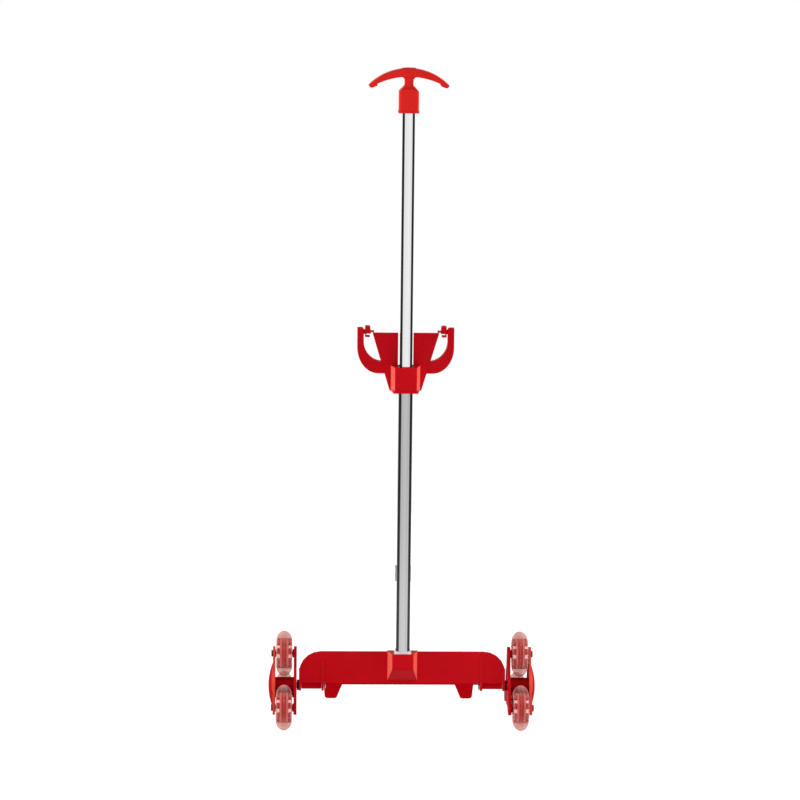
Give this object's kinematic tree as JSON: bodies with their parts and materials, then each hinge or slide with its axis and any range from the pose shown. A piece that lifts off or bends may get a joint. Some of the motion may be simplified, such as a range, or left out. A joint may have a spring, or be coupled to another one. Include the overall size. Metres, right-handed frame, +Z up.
{
  "type": "school bag trolley",
  "caption": "Folding stair-climbing trolley for a school bag: telescopic pole with T-grip, strap bracket, fold-down platform and tri-star wheel clusters.",
  "frame": {"origin": "on the floor, under the middle of the overall box", "axes": "+Z up along the pole, +X to the right seen from the person pulling it, +Y to the bag side"},
  "size_m": [0.355, 0.2258, 0.8727],
  "materials": {
    "red_plastic": "semi-gloss moulded plastic",
    "grip_plastic": "semi-gloss moulded plastic",
    "alloy": "bright anodised extrusion",
    "steel": "zinc plated",
    "spring_steel": "plain",
    "black_plastic": "matte moulded plastic",
    "black_steel": "black zinc",
    "ferrule": "translucent white plastic",
    "clear_tyre": "clear polyurethane, slightly pink",
    "wheel_core": "moulded plastic"
  },
  "bodies": {
    "frame": {"base_bracket": "red_plastic", "left_axle": "steel", "right_axle": "steel", "axle_clips": "black_steel", "hub_spacers": "black_plastic", "outer_tube": "alloy", "tube_ferrule": "ferrule", "guide_bush": "black_plastic", "platform_catch": "black_plastic", "bag_bracket": "red_plastic", "tube_screws": "black_steel", "gate_pins": "steel"},
    "handle": {"inner_tube": "alloy", "grip": "grip_plastic", "grip_screw": "black_steel", "lock_housing": "black_plastic", "button_spring": "spring_steel", "pin_spring": "spring_steel"},
    "button": {"button": "grip_plastic", "push_rod": "steel"},
    "lock_pin": {"lock_pin": "steel"},
    "platform": {"platform": "red_plastic"},
    "left_gate": {"left_gate": "red_plastic"},
    "right_gate": {"right_gate": "red_plastic"},
    "left_cluster": {"left_carrier_inner": "red_plastic", "left_carrier_outer": "red_plastic", "left_wheel_bolts": "black_steel", "left_wheel_nuts": "steel"},
    "left_top_wheel": {"left_top_tyre": "clear_tyre", "left_top_core": "wheel_core"},
    "left_front_wheel": {"left_front_tyre": "clear_tyre", "left_front_core": "wheel_core"},
    "left_rear_wheel": {"left_rear_tyre": "clear_tyre", "left_rear_core": "wheel_core"},
    "right_cluster": {"right_carrier_inner": "red_plastic", "right_carrier_outer": "red_plastic", "right_wheel_bolts": "black_steel", "right_wheel_nuts": "steel"},
    "right_top_wheel": {"right_top_tyre": "clear_tyre", "right_top_core": "wheel_core"},
    "right_front_wheel": {"right_front_tyre": "clear_tyre", "right_front_core": "wheel_core"},
    "right_rear_wheel": {"right_rear_tyre": "clear_tyre", "right_rear_core": "wheel_core"}
  },
  "joints": [
    {"name": "handle_slide", "type": "slide", "parent": "frame", "child": "handle", "axis": [0, 0, 1], "range_m": [-0.287, 0]},
    {"name": "button_press", "type": "slide", "parent": "handle", "child": "button", "axis": [0, 0, -1], "range_m": [0, 0.003], "stiffness_N_per_m": 600, "springref_m": -0.003, "deforming": ["button_spring"]},
    {"name": "lock_pin_slide", "type": "slide", "parent": "handle", "child": "lock_pin", "axis": [0, -1, 0], "range_m": [0, 0.003], "deforming": ["pin_spring"]},
    {"name": "platform_fold", "type": "hinge", "parent": "frame", "child": "platform", "pos_m": [0, -0.04563, 0.0515], "axis": [1, 0, 0], "range_deg": [0, 90]},
    {"name": "left_gate_swing", "type": "hinge", "parent": "frame", "child": "left_gate", "pos_m": [-0.0595, -0.04963, 0.5276], "axis": [0, -1, 0], "range_deg": [0, 100]},
    {"name": "right_gate_swing", "type": "hinge", "parent": "frame", "child": "right_gate", "pos_m": [0.0595, -0.04963, 0.5276], "axis": [0, 1, 0], "range_deg": [0, 100]},
    {"name": "left_cluster_spin", "type": "hinge", "parent": "frame", "child": "left_cluster", "pos_m": [-0.1567, -0.04563, 0.0515], "axis": [1, 0, 0], "continuous": true},
    {"name": "left_top_wheel_spin", "type": "hinge", "parent": "left_cluster", "child": "left_top_wheel", "pos_m": [-0.1567, -0.04563, 0.0945], "axis": [1, 0, 0], "continuous": true},
    {"name": "left_front_wheel_spin", "type": "hinge", "parent": "left_cluster", "child": "left_front_wheel", "pos_m": [-0.1567, -0.08287, 0.03], "axis": [1, 0, 0], "continuous": true},
    {"name": "left_rear_wheel_spin", "type": "hinge", "parent": "left_cluster", "child": "left_rear_wheel", "pos_m": [-0.1567, -0.00839, 0.03], "axis": [1, 0, 0], "continuous": true},
    {"name": "right_cluster_spin", "type": "hinge", "parent": "frame", "child": "right_cluster", "pos_m": [0.1567, -0.04563, 0.0515], "axis": [1, 0, 0], "continuous": true},
    {"name": "right_top_wheel_spin", "type": "hinge", "parent": "right_cluster", "child": "right_top_wheel", "pos_m": [0.1567, -0.04563, 0.0945], "axis": [1, 0, 0], "continuous": true},
    {"name": "right_front_wheel_spin", "type": "hinge", "parent": "right_cluster", "child": "right_front_wheel", "pos_m": [0.1567, -0.08287, 0.03], "axis": [1, 0, 0], "continuous": true},
    {"name": "right_rear_wheel_spin", "type": "hinge", "parent": "right_cluster", "child": "right_rear_wheel", "pos_m": [0.1567, -0.00839, 0.03], "axis": [1, 0, 0], "continuous": true}
  ],
  "couplings": [
    {"joint": "lock_pin_slide", "follows": "button_press", "ratio": 1}
  ]
}
